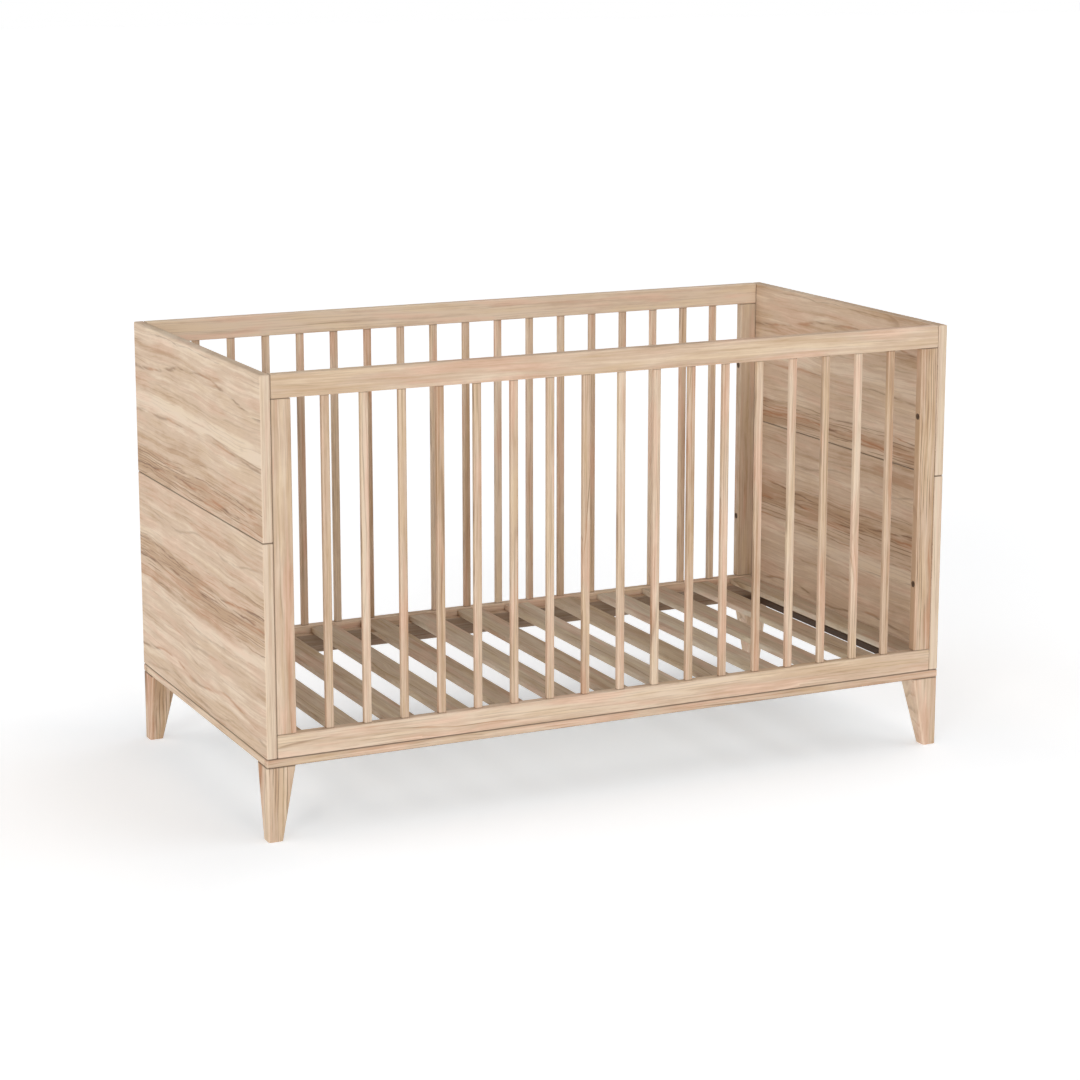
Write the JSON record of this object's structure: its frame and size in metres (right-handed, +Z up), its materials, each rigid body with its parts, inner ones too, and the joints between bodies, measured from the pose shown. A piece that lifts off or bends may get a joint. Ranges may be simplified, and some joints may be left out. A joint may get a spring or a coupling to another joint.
{
  "type": "baby crib",
  "caption": "Cot bed with solid board ends, two slatted sides, a plinth on tapered legs and a slatted mattress base that lifts to other heights.",
  "frame": {"origin": "on the floor, at the middle of the footprint", "axes": "+X along the length towards the right end, +Y across the width from the front side to the back side, +Z up"},
  "size_m": [1.44, 0.74, 0.862],
  "materials": {
    "end_board_wood": "matt oiled, long wavy figure along the width",
    "side_frame_wood": "matt oiled, grain along each piece",
    "plinth_wood": "matt oiled, grain along each strip",
    "leg_wood": "matt oiled, upright grain",
    "spindle_wood": "matt oiled, upright grain",
    "base_wood": "plain planed, grain along each slat",
    "dark_steel": "blackened",
    "zinc_steel": "zinc plated",
    "dowel_wood": "plain beech"
  },
  "bodies": {
    "cot_frame": {"left_end_lower_board": "end_board_wood", "left_end_upper_board": "end_board_wood", "right_end_lower_board": "end_board_wood", "right_end_upper_board": "end_board_wood", "front_bottom_rail": "side_frame_wood", "front_top_rail": "side_frame_wood", "back_bottom_rail": "side_frame_wood", "back_top_rail": "side_frame_wood", "front_left_stile": "side_frame_wood", "front_right_stile": "side_frame_wood", "back_left_stile": "side_frame_wood", "back_right_stile": "side_frame_wood", "front_plinth_strip": "plinth_wood", "back_plinth_strip": "plinth_wood", "left_plinth_strip": "plinth_wood", "right_plinth_strip": "plinth_wood", "front_left_leg": "leg_wood", "front_right_leg": "leg_wood", "back_left_leg": "leg_wood", "back_right_leg": "leg_wood", "front_spindle_01": "spindle_wood", "front_spindle_02": "spindle_wood", "front_spindle_03": "spindle_wood", "front_spindle_04": "spindle_wood", "front_spindle_05": "spindle_wood", "front_spindle_06": "spindle_wood", "front_spindle_07": "spindle_wood", "front_spindle_08": "spindle_wood", "front_spindle_09": "spindle_wood", "front_spindle_10": "spindle_wood", "front_spindle_11": "spindle_wood", "front_spindle_12": "spindle_wood", "front_spindle_13": "spindle_wood", "front_spindle_14": "spindle_wood", "front_spindle_15": "spindle_wood", "front_spindle_16": "spindle_wood", "front_spindle_17": "spindle_wood", "back_spindle_01": "spindle_wood", "back_spindle_02": "spindle_wood", "back_spindle_03": "spindle_wood", "back_spindle_04": "spindle_wood", "back_spindle_05": "spindle_wood", "back_spindle_06": "spindle_wood", "back_spindle_07": "spindle_wood", "back_spindle_08": "spindle_wood", "back_spindle_09": "spindle_wood", "back_spindle_10": "spindle_wood", "back_spindle_11": "spindle_wood", "back_spindle_12": "spindle_wood", "back_spindle_13": "spindle_wood", "back_spindle_14": "spindle_wood", "back_spindle_15": "spindle_wood", "back_spindle_16": "spindle_wood", "back_spindle_17": "spindle_wood", "connector_screws": "dark_steel", "support_pins": "zinc_steel", "wooden_dowels": "dowel_wood"},
    "mattress_base": {"base_slats": "base_wood", "base_front_rail": "base_wood", "base_back_rail": "base_wood"}
  },
  "joints": [
    {"name": "base_height", "type": "slide", "parent": "cot_frame", "child": "mattress_base", "axis": [0, 0, 1], "range_m": [0, 0.28]}
  ]
}
